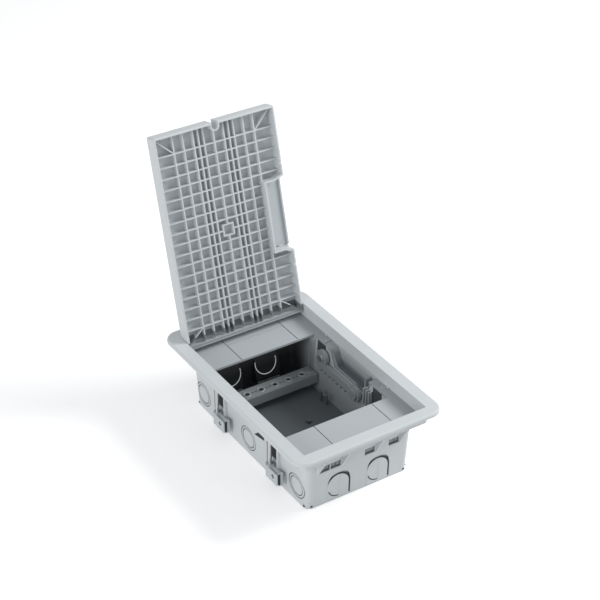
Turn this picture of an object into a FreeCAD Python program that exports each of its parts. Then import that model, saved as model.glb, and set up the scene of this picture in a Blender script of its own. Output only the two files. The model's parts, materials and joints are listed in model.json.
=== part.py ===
import FreeCAD
import Part
import Sketcher
import math
import os

from FreeCAD import Placement, Rotation, Vector

# Floor socket box, millimetres. X across the width with the cable exit on +X, Y along
# the length with the lid hinge on +Y, Z up. The origin is the middle of the tray's underside.

SIZES = {
    # trim frame
    "flange_half_x": 85.7,
    "flange_half_y": 132.0,
    "flange_rad": 15.5,
    "flange_th": 4.1,
    "flange_edge": 2.2,
    "frame_top": 80.5,
    "open_half_x": 71.1,
    "open_half_y": 118.5,
    "recess_deep": 15.2,
    "deck_th": 2.5,
    "tub_wall": 2.5,
    "recess_rad": 0.8,
    "lug_half": 1.5,
    "lug_high": 2.0,
    "lug_out": 1.6,
    "lug_beside": 5.0,
    "cut_half": 61.0,
    "cut_near": 68.5,
    "cut_far": 66.5,
    # deck covers
    "cover_left": 27.6,
    "cover_right": 41.6,
    "cover_th": 1.2,
    "cover_gap": 0.35,
    "cover_ledge": 4.0,
    "cover_end": 98.0,
    # cable trough in the frame's right-hand deck
    "trough_high": 35.5,
    "trough_low": 24.5,
    "trough_floor": 46.0,
    "trough_wall": 2.0,
    "step_end": 46.5,
    "step_deep": 1.2,
    # tray
    "low_half_x": 60.4,
    "low_half_y": 106.9,
    "top_half_x": 63.4,
    "top_half_y": 109.4,
    "tray_rad": 7.5,
    "wall": 2.4,
    "floor_th": 2.5,
    "window_half": 29.4,
    "window_sill": 43.5,
    "ring_end": 90.0,
    "ring_level": 20.5,
    "ring_big": 13.6,
    "ring_small": 10.6,
    "ring_line": 0.8,
    "entry_x": 23.3,
    "entry_half": 13.0,
    "entry_low": 7.0,
    "entry_high": 35.0,
    "entry_deep": 8.0,
    "rib_inner": 20.1,
    "rib_outer": 48.9,
    "rib_foot": 40.0,
    "rib_reach": 11.5,
    "snap_half": 5.0,
    "snap_low": 43.0,
    "snap_high": 47.5,
    "snap_th": 1.6,
    "snap_side": 2.9,
    "snap_room": 1.0,
    "snap_tip": 2.0,
    # fixing claws
    "claw_x": 67.5,
    "claw_y": 51.0,
    "claw_low": 12.0,
    "claw_high": 13.0,
    "claw_hub": 3.2,
    "claw_boss": 4.4,
    "claw_reach": 22.0,
    "claw_th": 4.6,
    "claw_collar": 1.5,
    "niche_half": 11.0,
    "niche_out": 65.6,
    "niche_cheek": 2.0,
    "screw_rad": 2.0,
    "screw_end": 9.0,
    "head_rad": 3.1,
    "head_th": 1.2,
    # accessory rails
    "rail_half": 57.5,
    "rail_front": 53.0,
    "rail_deep": 18.0,
    "rail_level": 23.0,
    "rail_lip": 12.0,
    "rail_th": 2.0,
    "rail_pitch": 17.07,
    "rail_hole": 3.0,
    "rail_small_hole": 1.0,
    "rail_screw_x": 52.0,
    "rail_screw_rad": 1.6,
    "rail_post": 3.4,
    # lid
    "lid_half": 70.5,
    "lid_front": 118.1,
    "lid_rear": 110.8,
    "lid_deep": 15.0,
    "lid_wall": 2.4,
    "lid_plate": 2.5,
    "lid_rad": 2.0,
    "rib_th": 1.3,
    "rib_back": 5.7,
    "rib_pitch": 11.75,
    "rib_mid": -1.75,
    "outlet_in": 48.4,
    "outlet_half": 37.5,
    "outlet_straight": 59.0,
    "outlet_flare": 4.0,
    "outlet_wall": 2.0,
    "grip_half": 3.75,
    "grip_deep": 8.0,
    "hinge_y": 108.15,
    "hinge_z": 72.6,
    "hinge_rad": 2.0,
    "hinge_boss": 4.0,
    "lid_open": 104.6,
    # cable flap
    "flap_gap": 0.5,
    "flap_pin": 1.0,
    "flap_eye": 2.6,
    "flap_lip": 2.0,
    # cable comb
    "comb_x": 54.8,
    "comb_th": 4.0,
    "comb_low": 36.3,
    "comb_high": 45.5,
    "comb_pivot_y": 42.6,
    "comb_pivot_z": 50.8,
    "comb_latch_y": -17.5,
    "comb_latch_z": 40.5,
    "comb_disc": 9.0,
    "comb_pin": 2.5,
    "comb_stem": 3.0,
    "tooth_pitch": 7.5,
    "tooth_deep": 3.1,
    # fits
    "run_fit": 0.05,
    "free_gap": 0.3,
}

RIB_COLUMNS = 9
RIB_ROWS = 17
COMB_TEETH = 8

doc = FreeCAD.newDocument("floor_socket_box")
sheet = doc.addObject("Spreadsheet::Sheet", "sizes")
sheet.Label = "sizes"
for row, (alias, number) in enumerate(SIZES.items(), start=1):
    sheet.set("A%d" % row, alias)
    sheet.set("B%d" % row, str(number))
    sheet.setAlias("B%d" % row, alias)
doc.recompute()


class Dim:
    """A length that carries its number and the spreadsheet expression it comes from."""

    def __init__(self, number, text):
        self.number = number
        self.text = text

    def join(self, other, sign, number, flip=False):
        other = dim(other)
        first, second = (other, self) if flip else (self, other)
        return Dim(number(first.number, second.number), "(%s %s %s)" % (first.text, sign, second.text))

    def __add__(self, other):
        return self.join(other, "+", lambda a, b: a + b)

    def __radd__(self, other):
        return self.join(other, "+", lambda a, b: a + b, flip=True)

    def __sub__(self, other):
        return self.join(other, "-", lambda a, b: a - b)

    def __rsub__(self, other):
        return self.join(other, "-", lambda a, b: a - b, flip=True)

    def __mul__(self, other):
        return self.join(other, "*", lambda a, b: a * b)

    def __rmul__(self, other):
        return self.join(other, "*", lambda a, b: a * b, flip=True)

    def __truediv__(self, other):
        return self.join(other, "/", lambda a, b: a / b)

    def __neg__(self):
        return self * -1.0


def dim(value):
    if isinstance(value, Dim):
        return value
    return Dim(float(value), "(%s)" % repr(float(value)))


def size(alias):
    return Dim(float(SIZES[alias]), "sizes.%s" % alias)


def drive(obj, prop, value):
    """Set one property to a number, and bind it where it comes from the sheet."""
    value = dim(value)
    if "sizes." in value.text:
        obj.setExpression(prop, value.text)
    else:
        holder = obj
        parts = prop.split(".")
        if len(parts) == 1:
            setattr(holder, prop, value.number)
        else:
            obj.setExpression(prop, value.text)


# ---------------------------------------------------------------- sketched bodies

PLANES = {"XY": "XY_Plane", "XZ": "XZ_Plane", "YZ": "YZ_Plane"}


def new_body(name):
    body = doc.addObject("PartDesign::Body", name)
    body.Label = name
    return body


def origin_part(body, role):
    return [item for item in body.Origin.OriginFeatures if item.Role == role][0]


def sketch_on(body, name, plane, offset):
    sketch = body.newObject("Sketcher::SketchObject", name)
    sketch.AttachmentSupport = [(origin_part(body, PLANES[plane]), "")]
    sketch.MapMode = "FlatFace"
    drive(sketch, "AttachmentOffset.Base.z", offset)
    return sketch


def pin_point(sketch, geo, pos, x, y):
    """Fix one sketch point at x, y from the sketch origin."""
    for axis, rule, value in ((-2, "DistanceX", dim(x)), (-1, "DistanceY", dim(y))):
        if abs(value.number) < 1e-9:
            sketch.addConstraint(Sketcher.Constraint("PointOnObject", geo, pos, axis))
            continue
        index = sketch.addConstraint(
            Sketcher.Constraint(rule, -1, 1, geo, pos, value.number)
        )
        if "sizes." in value.text:
            sketch.setExpression("Constraints[%d]" % index, value.text)


def draw_polygon(sketch, points):
    points = [(dim(x), dim(y)) for x, y in points]
    first = sketch.GeometryCount
    count = len(points)
    for i, (x, y) in enumerate(points):
        nx, ny = points[(i + 1) % count]
        start = Vector(x.number, y.number, 0)
        end = Vector(nx.number, ny.number, 0)
        sketch.addGeometry(Part.LineSegment(start, end), False)
    for i in range(count):
        follower = first + (i + 1) % count
        sketch.addConstraint(Sketcher.Constraint("Coincident", first + i, 2, follower, 1))
    for i, (x, y) in enumerate(points):
        pin_point(sketch, first + i, 1, x, y)


def draw_circle(sketch, x, y, radius):
    x, y, radius = dim(x), dim(y), dim(radius)
    centre = Vector(x.number, y.number, 0)
    geo = sketch.addGeometry(Part.Circle(centre, Vector(0, 0, 1), radius.number), False)
    pin_point(sketch, geo, 3, x, y)
    index = sketch.addConstraint(Sketcher.Constraint("Radius", geo, radius.number))
    if "sizes." in radius.text:
        sketch.setExpression("Constraints[%d]" % index, radius.text)


def draw_round_rect(sketch, x0, x1, y0, y1, radius):
    """A rectangle with rounded corners: four lines joined by four tangent arcs."""
    x0, x1, y0, y1, radius = dim(x0), dim(x1), dim(y0), dim(y1), dim(radius)
    r = radius.number
    left, right, low, high = x0.number, x1.number, y0.number, y1.number
    corners = (
        (right - r, low + r, -90),
        (right - r, high - r, 0),
        (left + r, high - r, 90),
        (left + r, low + r, 180),
    )
    sides = (
        ((left + r, low), (right - r, low)),
        ((right, low + r), (right, high - r)),
        ((right - r, high), (left + r, high)),
        ((left, high - r), (left, low + r)),
    )
    lines = []
    arcs = []
    for (start, end), (cx, cy, turn) in zip(sides, corners):
        segment = Part.LineSegment(Vector(start[0], start[1], 0), Vector(end[0], end[1], 0))
        lines.append(sketch.addGeometry(segment, False))
        circle = Part.Circle(Vector(cx, cy, 0), Vector(0, 0, 1), r)
        span = (math.radians(turn), math.radians(turn + 90))
        arcs.append(sketch.addGeometry(Part.ArcOfCircle(circle, span[0], span[1]), False))
    for i in range(4):
        follower = lines[(i + 1) % 4]
        sketch.addConstraint(Sketcher.Constraint("Tangent", lines[i], 2, arcs[i], 1))
        sketch.addConstraint(Sketcher.Constraint("Tangent", arcs[i], 2, follower, 1))
    for i in (1, 2, 3):
        sketch.addConstraint(Sketcher.Constraint("Equal", arcs[0], arcs[i]))
    sketch.addConstraint(Sketcher.Constraint("Horizontal", lines[0]))
    sketch.addConstraint(Sketcher.Constraint("Vertical", lines[1]))
    for rule, geo, value in (
        ("DistanceY", lines[0], y0),
        ("DistanceX", lines[1], x1),
        ("DistanceY", lines[2], y1),
        ("DistanceX", lines[3], x0),
    ):
        index = sketch.addConstraint(Sketcher.Constraint(rule, -1, 1, geo, 1, value.number))
        if "sizes." in value.text:
            sketch.setExpression("Constraints[%d]" % index, value.text)
    index = sketch.addConstraint(Sketcher.Constraint("Radius", arcs[0], r))
    if "sizes." in radius.text:
        sketch.setExpression("Constraints[%d]" % index, radius.text)


def fill_sketch(sketch, shapes):
    for kind, values in shapes:
        if kind == "poly":
            draw_polygon(sketch, values)
        elif kind == "rect":
            x0, x1, y0, y1 = values
            draw_polygon(sketch, [(x0, y0), (x1, y0), (x1, y1), (x0, y1)])
        elif kind == "round":
            draw_round_rect(sketch, *values)
        else:
            draw_circle(sketch, *values)


def feature(body, kind, name, plane, start, length, shapes):
    """Pad along the plane's normal from start, or pocket against it from start."""
    sketch = sketch_on(body, name + "_sketch", plane, start)
    fill_sketch(sketch, shapes)
    made = body.newObject("PartDesign::" + kind, name)
    made.Profile = sketch
    made.Refine = False
    drive(made, "Length", length)
    sketch.Visibility = False
    body.Tip = made
    return made


def pad(body, name, plane, start, length, shapes):
    return feature(body, "Pad", name, plane, start, length, shapes)


def pocket(body, name, plane, start, length, shapes):
    return feature(body, "Pocket", name, plane, start, length, shapes)


def pattern(body, name, source, axis, length, count):
    made = body.newObject("PartDesign::LinearPattern", name)
    made.Originals = [source]
    made.Direction = (origin_part(body, axis), [""])
    drive(made, "Length", length)
    made.Occurrences = count
    made.Refine = False
    body.Tip = made
    return made


def dress(body, kind, name, prop, amount, chosen):
    """Fillet or chamfer the edges of the body's tip that chosen accepts."""
    doc.recompute()
    tip = body.Tip
    names = ["Edge%d" % (i + 1) for i, edge in enumerate(tip.Shape.Edges) if chosen(edge)]
    made = body.newObject("PartDesign::" + kind, name)
    made.Base = (tip, names)
    drive(made, prop, amount)
    body.Tip = made
    return made


# ---------------------------------------------------------------- solid primitives


def place(obj, x, y, z, rotation=None):
    if rotation is not None:
        obj.Placement = Placement(Vector(0, 0, 0), rotation)
    drive(obj, "Placement.Base.x", dim(x) + 0)
    drive(obj, "Placement.Base.y", dim(y) + 0)
    drive(obj, "Placement.Base.z", dim(z) + 0)
    return obj


def block(name, x0, x1, y0, y1, z0, z1):
    made = doc.addObject("Part::Box", name)
    drive(made, "Length", dim(x1) - x0)
    drive(made, "Width", dim(y1) - y0)
    drive(made, "Height", dim(z1) - z0)
    return place(made, x0, y0, z0)


ALONG = {
    "+Z": Rotation(),
    "+X": Rotation(Vector(0, 1, 0), 90),
    "-X": Rotation(Vector(0, 1, 0), -90),
    "+Y": Rotation(Vector(1, 0, 0), -90),
    "-Y": Rotation(Vector(1, 0, 0), 90),
}


def rod(name, radius, length, x, y, z, along="+Z"):
    made = doc.addObject("Part::Cylinder", name)
    drive(made, "Radius", radius)
    drive(made, "Height", length)
    return place(made, x, y, z, ALONG[along])


def fuse(name, items):
    made = doc.addObject("Part::MultiFuse", name)
    made.Shapes = items
    made.Refine = True
    made.Label = name
    return made


def cut(name, base, tools):
    made = doc.addObject("Part::Cut", name)
    made.Base = base
    made.Tool = tools[0] if len(tools) == 1 else fuse(name + "_tools", tools)
    made.Refine = True
    made.Label = name
    return made


def group(name, items):
    made = doc.addObject("Part::Compound", name)
    made.Links = items
    made.Label = name
    return made


def common(name, first, second):
    made = doc.addObject("Part::Common", name)
    made.Base = first
    made.Tool = second
    made.Refine = True
    made.Label = name
    return made


# ---------------------------------------------------------------- shared levels

s = size
deck_top = s("frame_top") - s("recess_deep")
deck_low = deck_top - s("deck_th")
flange_low = s("frame_top") - s("flange_th")
SIDES = (-1, 1)
CORNERS = [(sx, sy) for sx in SIDES for sy in SIDES]
CORNER_NAMES = {(-1, -1): "left_near", (-1, 1): "left_far", (1, -1): "right_near", (1, 1): "right_far"}
nodes = {}


def tag(sx, sy=0):
    return {-1: "l", 0: "", 1: "r"}[sx] + {-1: "n", 0: "", 1: "f"}[sy]


def wall_x(level, inset):
    """Distance of the tray's drafted side wall from the middle, inset from its outer face."""
    rise = (s("top_half_x") - s("low_half_x")) * level / deck_low
    return s("low_half_x") + rise - inset


def wall_y(level, inset):
    rise = (s("top_half_y") - s("low_half_y")) * level / deck_low
    return s("low_half_y") + rise - inset


# ---------------------------------------------------------------- trim frame


def make_trim_frame():
    body = new_body("trim_frame")
    fx, fy = s("flange_half_x"), s("flange_half_y")
    ox, oy = s("open_half_x"), s("open_half_y")
    tx, ty = ox + s("tub_wall"), oy + s("tub_wall")
    pad(body, "flange", "XY", flange_low, s("flange_th"), [("round", (-fx, fx, -fy, fy, s("flange_rad")))])
    dress(
        body, "Fillet", "flange_soft_edge", "Radius", s("flange_edge"),
        lambda edge: edge.BoundBox.ZMin > SIZES["frame_top"] - 0.01,
    )
    tub_high = flange_low - deck_low
    pad(body, "tub", "XY", deck_low, tub_high, [("round", (-tx, tx, -ty, ty, s("tub_wall") * 2))])

    low = deck_low - s("trough_wall")
    trough_in = s("top_half_x") + s("free_gap") * 3
    slope = s("trough_wall") * 1.1
    out_low, out_high = s("trough_low") + slope, s("trough_high") + slope
    bottom = s("trough_floor") - s("trough_wall")
    outline = [(-out_low, bottom), (out_low, bottom), (out_high, deck_low + 0.5), (-out_high, deck_low + 0.5)]
    pad(body, "trough", "YZ", trough_in, tx - trough_in, [("poly", outline)])

    pocket(body, "recess", "XY", s("frame_top"), s("recess_deep"), [("round", (-ox, ox, -oy, oy, s("recess_rad")))])
    pocket(body, "deck_cut_out", "XY", deck_top, s("deck_th"), [
        ("rect", (-s("cut_half"), s("cut_half"), -s("cut_near"), s("cut_far"))),
    ])
    inner = [
        (-s("trough_low"), s("trough_floor")),
        (s("trough_low"), s("trough_floor")),
        (s("trough_high"), deck_top),
        (-s("trough_high"), deck_top),
    ]
    pocket(body, "trough_hollow", "YZ", ox, ox - s("cut_half") + 1, [("poly", inner)])
    for sy in SIDES:
        near, far = (s("trough_high") - 0.5) * sy, s("step_end") * sy
        y0, y1 = (near, far) if sy > 0 else (far, near)
        pocket(body, "deck_step_" + tag(0, sy), "XY", deck_top, s("step_deep"), [
            ("rect", (s("cut_half"), ox, y0, y1)),
        ])
        pad(body, "stop_lug_" + tag(0, sy), "XY", deck_top, s("lug_high"), [
            ("rect", (ox - s("lug_out"), ox, lug_middle(sy) - s("lug_half"), lug_middle(sy) + s("lug_half"))),
        ])

    left, right = s("cover_left"), s("cover_right")
    ledge = s("cover_ledge")
    pocket(body, "near_cover_seat", "XY", deck_top, s("cover_th"), [
        ("rect", (-left, right, -oy + s("tub_wall"), -s("cut_near"))),
    ])
    pocket(body, "near_cover_window", "XY", deck_top, s("deck_th"), [
        ("rect", (-left + ledge, right - ledge, -s("cover_end") + ledge, -s("cut_near") - ledge)),
    ])
    pocket(body, "far_cover_seat", "XY", deck_top, s("cover_th"), [
        ("rect", (-left, right, s("cut_far"), s("cover_end"))),
    ])
    pocket(body, "far_cover_window", "XY", deck_top, s("deck_th"), [
        ("rect", (-left + ledge, right - ledge, s("cut_far") + ledge, s("cover_end") - ledge)),
    ])

    seats = [(s("claw_x") * sx, s("claw_y") * sy, s("head_rad") + 0.2) for sx, sy in CORNERS]
    holes = [(s("claw_x") * sx, s("claw_y") * sy, s("screw_rad") + s("run_fit")) for sx, sy in CORNERS]
    pocket(body, "claw_head_seats", "XY", deck_top, s("head_th"), [("circle", seat) for seat in seats])
    pocket(body, "claw_screw_holes", "XY", deck_top, s("deck_th"), [("circle", hole) for hole in holes])
    pocket(body, "hinge_holes", "YZ", tx + 1, (tx + 1) * 2, [
        ("circle", (s("hinge_y"), s("hinge_z"), s("hinge_rad") + s("run_fit"))),
    ])
    make_snap_hooks(body)
    return body


def lug_middle(sy):
    """Where a stop lug stands along the right-hand wall, beside its claw screw."""
    return (s("claw_y") + s("lug_beside")) * sy


def make_snap_hooks(body):
    """Tongues that hang inside the tray's end walls and catch in their windows."""
    for sy in SIDES:
        outer = wall_y(s("snap_low"), s("wall") + s("free_gap"))
        inner = outer - s("snap_th")
        barb = outer + s("wall") * 0.7
        profile = [
            (inner * sy, s("snap_low") - s("snap_tip")),
            (outer * sy, s("snap_low") - s("snap_tip")),
            (barb * sy, s("snap_low") + 1),
            (barb * sy, s("snap_high")),
            (outer * sy, s("snap_high")),
            (outer * sy, deck_low + 0.5),
            (inner * sy, deck_low + 0.5),
        ]
        for place_x, name in snap_places():
            start = place_x - s("snap_half")
            pad(body, "snap_hook_" + name + tag(0, sy), "YZ", start, s("snap_half") * 2, [("poly", profile)])


def snap_places():
    """Middle of each snap window, beside its outer rib and clear of the rounded corners."""
    beside = s("snap_half") + s("snap_side")
    return [
        (beside - s("rib_outer"), "a"),
        (-s("rib_inner") - beside, "b"),
        (s("rib_inner") - beside, "c"),
        (s("rib_outer") - beside, "d"),
    ]


# ---------------------------------------------------------------- floor tray


def tray_outline(sketch, half_x, half_y, radius):
    draw_round_rect(sketch, -half_x, half_x, -half_y, half_y, radius)


def make_tray_body():
    body = new_body("tray_shell")
    low = sketch_on(body, "tray_low_outline", "XY", 0)
    tray_outline(low, s("low_half_x"), s("low_half_y"), s("tray_rad"))
    high = sketch_on(body, "tray_high_outline", "XY", deck_low)
    tray_outline(high, s("top_half_x"), s("top_half_y"), s("tray_rad"))
    outer = body.newObject("PartDesign::AdditiveLoft", "tray_outside")
    outer.Profile = low
    outer.Sections = [high]
    body.Tip = outer
    inner_rad = s("tray_rad") - s("wall")
    low = sketch_on(body, "tray_low_hollow", "XY", s("floor_th"))
    tray_outline(low, wall_x(s("floor_th"), s("wall")), wall_y(s("floor_th"), s("wall")), inner_rad)
    high = sketch_on(body, "tray_high_hollow", "XY", deck_low)
    tray_outline(high, s("top_half_x") - s("wall"), s("top_half_y") - s("wall"), inner_rad)
    inner = body.newObject("PartDesign::SubtractiveLoft", "tray_inside")
    inner.Profile = low
    inner.Sections = [high]
    body.Tip = inner

    middle = s("wall") / 2
    for sx, sy in CORNERS:
        profile = [
            (wall_x(3.0, middle) * sx, 3.0),
            (s("niche_out") * sx, 3.0),
            (s("niche_out") * sx, deck_low),
            (wall_x(deck_low, middle) * sx, deck_low),
        ]
        for side in SIDES:
            edge = s("claw_y") * sy + s("niche_half") * side
            start = edge if side > 0 else edge + s("niche_cheek")
            name = "niche_cheek_%s%d" % (tag(sx, sy), side + 1)
            pad(body, name, "XZ", -start, s("niche_cheek"), [("poly", profile)])
    for sy in SIDES:
        profile = [
            (wall_y(s("rib_foot"), middle) * sy, s("rib_foot")),
            (wall_y(s("rib_foot"), 0) * sy, s("rib_foot")),
            ((s("top_half_y") + s("rib_reach")) * sy, deck_low - 1.5),
            ((s("top_half_y") + s("rib_reach")) * sy, deck_low),
            (wall_y(deck_low, middle) * sy, deck_low),
        ]
        for sx in SIDES:
            for alias in ("rib_inner", "rib_outer"):
                name = "%s_%s" % (alias, tag(sx, sy))
                pad(body, name, "YZ", s(alias) * sx - 1.25, 2.5, [("poly", profile)])
        start = s("top_half_y") + 1 if sy > 0 else -s("low_half_y") + s("wall") * 2
        room = s("snap_room")
        windows = [
            ("rect", (
                x - s("snap_half") - room, x + s("snap_half") + room,
                s("snap_low") - s("snap_tip"), s("snap_high") + room,
            ))
            for x, label in snap_places()
        ]
        made = pocket(body, "snap_windows_" + tag(0, sy), "XZ", -start, s("wall") * 3.5, windows)
        made.Reversed = True
    half, sill = s("window_half"), s("window_sill")
    pocket(body, "cable_window", "YZ", s("top_half_x") + 1, s("wall") * 3.5, [
        ("poly", [(-half, sill), (half, sill), (s("trough_high") + 4, deck_low), (-s("trough_high") - 4, deck_low)]),
    ])
    return body


def entry_shape(name, grow, sx, sy):
    """The sloping arched recess of one cable entry, or with grow the boss behind it."""
    half = s("entry_half") + grow
    low = s("entry_low") - grow
    high = s("entry_high") + grow
    x = s("entry_x") * sx
    y0, y1 = s("low_half_y") - s("entry_deep") * 2, s("low_half_y") + s("entry_deep")
    front = y1 if sy < 0 else y0
    base = block(name + "_foot", x - half, x + half, y0 if sy > 0 else -y1, y1 if sy > 0 else -y0, low, high - half)
    arch = rod(name + "_arch", half, y1 - y0, x, front * sy, high - half, "+Y")
    outline = fuse(name + "_outline", [base, arch])
    wedge = new_body(name + "_wedge")
    deep = wall_y(s("entry_low"), s("entry_deep") + grow)
    shallow = wall_y(s("entry_high"), grow * 1.05 - 0.2)
    if dim(grow).number > 0:
        face_low, face_high = wall_y(low, s("wall") / 2), wall_y(high, s("wall") / 2)
    else:
        face_low, face_high = wall_y(low, -2), wall_y(high, -2)
    top = high + 1
    profile = [(deep * sy, low), (shallow * sy, high), (face_high * sy, top), (face_low * sy, low)]
    if dim(grow).number == 0:
        profile = [(deep * sy, low), (shallow * sy, high), (face_high * sy, high), (face_low * sy, low)]
    pad(wedge, name + "_slope", "YZ", x - half - 1, half * 2 + 2, [("poly", profile)])
    return common(name, outline, wedge)


def ring_groove(name, radius, sx, y):
    """A knockout line pressed square into the drafted side wall."""
    draft = math.degrees(math.atan2(SIZES["top_half_x"] - SIZES["low_half_x"], (deck_low).number))
    outside = Placement(Vector(0, 0, 0), Rotation(Vector(0, 1, 0), 90 * sx + draft * sx))
    tools = []
    for part, reach in (("outer", radius), ("inner", radius - s("ring_line"))):
        tool = doc.addObject("Part::Cylinder", "%s_%s" % (name, part))
        drive(tool, "Radius", reach)
        drive(tool, "Height", 4.0 if part == "outer" else 5.0)
        tool.Placement = outside
        depth = s("ring_line") if part == "outer" else s("ring_line") + 0.5
        drive(tool, "Placement.Base.x", wall_x(s("ring_level"), depth) * sx)
        drive(tool, "Placement.Base.y", dim(y) + 0)
        drive(tool, "Placement.Base.z", s("ring_level") + 0)
        tools.append(tool)
    return cut(name, tools[0], tools[1:])


def make_floor_tray():
    shell = make_tray_body()
    added = [shell]
    removed = []
    for sx, sy in CORNERS:
        name = "entry_" + tag(sx, sy)
        added.append(entry_shape(name + "_boss", s("wall"), sx, sy))
        removed.append(entry_shape(name, dim(0), sx, sy))
    for sx in SIDES:
        for i in (-1, 0, 1):
            for label, alias in (("big", "ring_big"), ("small", "ring_small")):
                name = "ring_%s_%s%d" % (label, tag(sx), i + 1)
                removed.append(ring_groove(name, s(alias), sx, s("ring_end") * i))
    floor = s("floor_th") - 0.5
    for sx, sy in CORNERS:
        x, y = s("rail_screw_x") * sx, rail_middle() * sy
        name = "rail_post_" + tag(sx, sy)
        added.append(rod(name, s("rail_post"), s("rail_level") - s("rail_th") - floor, x, y, floor))
        removed.append(rod(name + "_bore", s("rail_screw_rad"), 12.0, x, y, s("rail_level") - 10.0))
    pivot = (s("comb_pivot_y"), s("comb_pivot_z"))
    boss_x = s("comb_x") + s("comb_th") + s("free_gap")
    added.append(rod("comb_boss", s("comb_pin") + 2, wall_x(s("comb_pivot_z"), 1.0) - boss_x, boss_x, *pivot, "+X"))
    removed.append(rod("comb_boss_bore", s("comb_pin"), 2.8, boss_x - 0.5, *pivot, "+X"))
    for i in range(3):
        y = -s("window_half") - 4.0 - 4.6 * i
        name = "guide_rib_%d" % i
        added.append(block(name, wall_x(38.0, 6.5), wall_x(38.0, 1.0), y - 0.9, y + 0.9, dim(38.0), dim(57.0)))
    for i in range(2):
        y = s("rail_front") + 10.5 + 4.0 * i
        name = "corner_guide_%d" % i
        added.append(block(name, wall_x(26.0, 5.0), wall_x(26.0, 1.0), y - 0.8, y + 0.8, dim(26.0), deck_low - 1))
    for i, (x, y) in enumerate(((49.4, 35.1), (50.4, 26.0))):
        added.append(rod("cable_peg_%d" % i, 1.8, 12.5, dim(x), dim(y), floor))
    added.append(rod("floor_boss", 2.6, 3.5, dim(17.7), dim(9.5), floor))
    return cut("floor_tray", fuse("tray_solid", added), removed)


# ---------------------------------------------------------------- deck covers and rails


def make_cover(name, y0, y1):
    gap = s("cover_gap")
    body = new_body(name)
    outline = ("rect", (-s("cover_left") + gap, s("cover_right") - gap, y0, y1))
    pad(body, name + "_plate", "XY", deck_top - s("cover_th"), s("cover_th"), [outline])
    return body


def rail_middle():
    return s("rail_front") + s("rail_deep") / 2 + 1


def make_rail(name, sy):
    front, back = s("rail_front") * sy, (s("rail_front") + s("rail_deep")) * sy
    high, th = s("rail_level"), s("rail_th")
    body = new_body(name)
    profile = [
        (front, high),
        (back, high),
        (back, high - th),
        (front + th * sy, high - th),
        (front + th * sy, s("rail_lip")),
        (front, s("rail_lip")),
    ]
    pad(body, name + "_angle", "YZ", -s("rail_half"), s("rail_half") * 2, [("poly", profile)])
    middle = rail_middle() * sy
    first = s("rail_pitch") * -2.5
    large = [(first + s("rail_pitch") * i, middle - 1.5 * sy, s("rail_hole")) for i in range(6)]
    small = []
    for i in range(5):
        x = first + s("rail_pitch") * (i + 0.5)
        small.append((x - 1.9, middle - 1.5 * sy, s("rail_small_hole")))
        small.append((x + 1.9, middle - 1.5 * sy, s("rail_small_hole")))
    fixing = [(s("rail_screw_x") * sx, middle, s("rail_screw_rad") + 0.2) for sx in SIDES]
    circles = [("circle", hole) for hole in large + small + fixing]
    pocket(body, name + "_holes", "XY", high, th, circles)
    return body


def make_rail_screws():
    screws = []
    for sx, sy in CORNERS:
        x, y = s("rail_screw_x") * sx, rail_middle() * sy
        name = "rail_screw_" + tag(sx, sy)
        head = rod(name + "_head", s("rail_screw_rad") * 1.8, 1.8, x, y, s("rail_level"))
        shank = rod(name + "_shank", s("rail_screw_rad"), 9.0, x, y, s("rail_level") - 9.0)
        slot = block(name + "_slot", x - 4, x + 4, y - 0.4, y + 0.4, s("rail_level") + 1.0, s("rail_level") + 3.0)
        screws.append(cut(name, fuse(name + "_solid", [shank, head]), [slot]))
    return group("rail_screws", screws)


# ---------------------------------------------------------------- fixing claws


def make_claw(sx, sy):
    label = CORNER_NAMES[(sx, sy)]
    x, y = s("claw_x") * sx, s("claw_y") * sy
    fit = s("run_fit")
    head_low = deck_top - s("head_th")
    shank = rod("claw_shank_" + label, s("screw_rad"), head_low - s("screw_end") + 0.2, x, y, s("screw_end"))
    head = rod("claw_head_" + label, s("head_rad"), s("head_th"), x, y, head_low)
    slot_a = block("claw_slot_a_" + label, x - 2.1, x + 2.1, y - 0.4, y + 0.4, deck_top - 0.7, deck_top + 1)
    slot_b = block("claw_slot_b_" + label, x - 0.4, x + 0.4, y - 2.1, y + 2.1, deck_top - 0.7, deck_top + 1)
    screw = cut("claw_screw_" + label, fuse("claw_screw_solid_" + label, [shank, head]), [slot_a, slot_b])

    low, tall, collar = s("claw_low"), s("claw_high"), s("claw_collar")
    hub = rod("claw_hub_" + label, s("claw_hub"), tall + collar + 1, x, y, low - collar)
    flange = rod("claw_collar_" + label, s("claw_boss"), collar, x, y, low - collar)
    bore = rod("claw_nut_bore_" + label, s("screw_rad") + fit, tall + 6, x, y, low - collar - 1)
    nut = cut("claw_nut_" + label, fuse("claw_nut_solid_" + label, [hub, flange]), [bore])

    boss = rod("claw_boss_" + label, s("claw_boss"), tall, x, y, low)
    inside, outside = s("niche_out") + s("free_gap") * 2, s("niche_out") + s("free_gap") * 2 + s("claw_th")
    x0, x1 = (inside, outside) if sx > 0 else (-outside, -inside)
    bar = block("claw_bar_" + label, x0, x1, y - s("claw_reach"), y, low, low + tall)
    tip = block("claw_tip_" + label, x0, x1, y - s("claw_reach"), y - s("claw_reach") + 3, low + tall, low + tall + 2)
    relief = block("claw_relief_" + label, x0 - 1, x1 + 1, y - s("claw_reach") + 5, y - 7, low - 1, low + 3)
    eye = rod("claw_eye_" + label, s("claw_hub") + fit, tall + 4, x, y, low - 1)
    arm = cut("claw_arm_" + label, fuse("claw_arm_solid_" + label, [boss, bar, tip]), [eye, relief])
    return screw, nut, arm


# ---------------------------------------------------------------- lid, modelled closed


def lid_swing():
    """Placement that carries a part from the closed lid's place to the open one."""
    pivot = Vector(0, SIZES["hinge_y"], SIZES["hinge_z"])
    return Placement(Vector(0, 0, 0), Rotation(Vector(1, 0, 0), -SIZES["lid_open"]), pivot)


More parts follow.
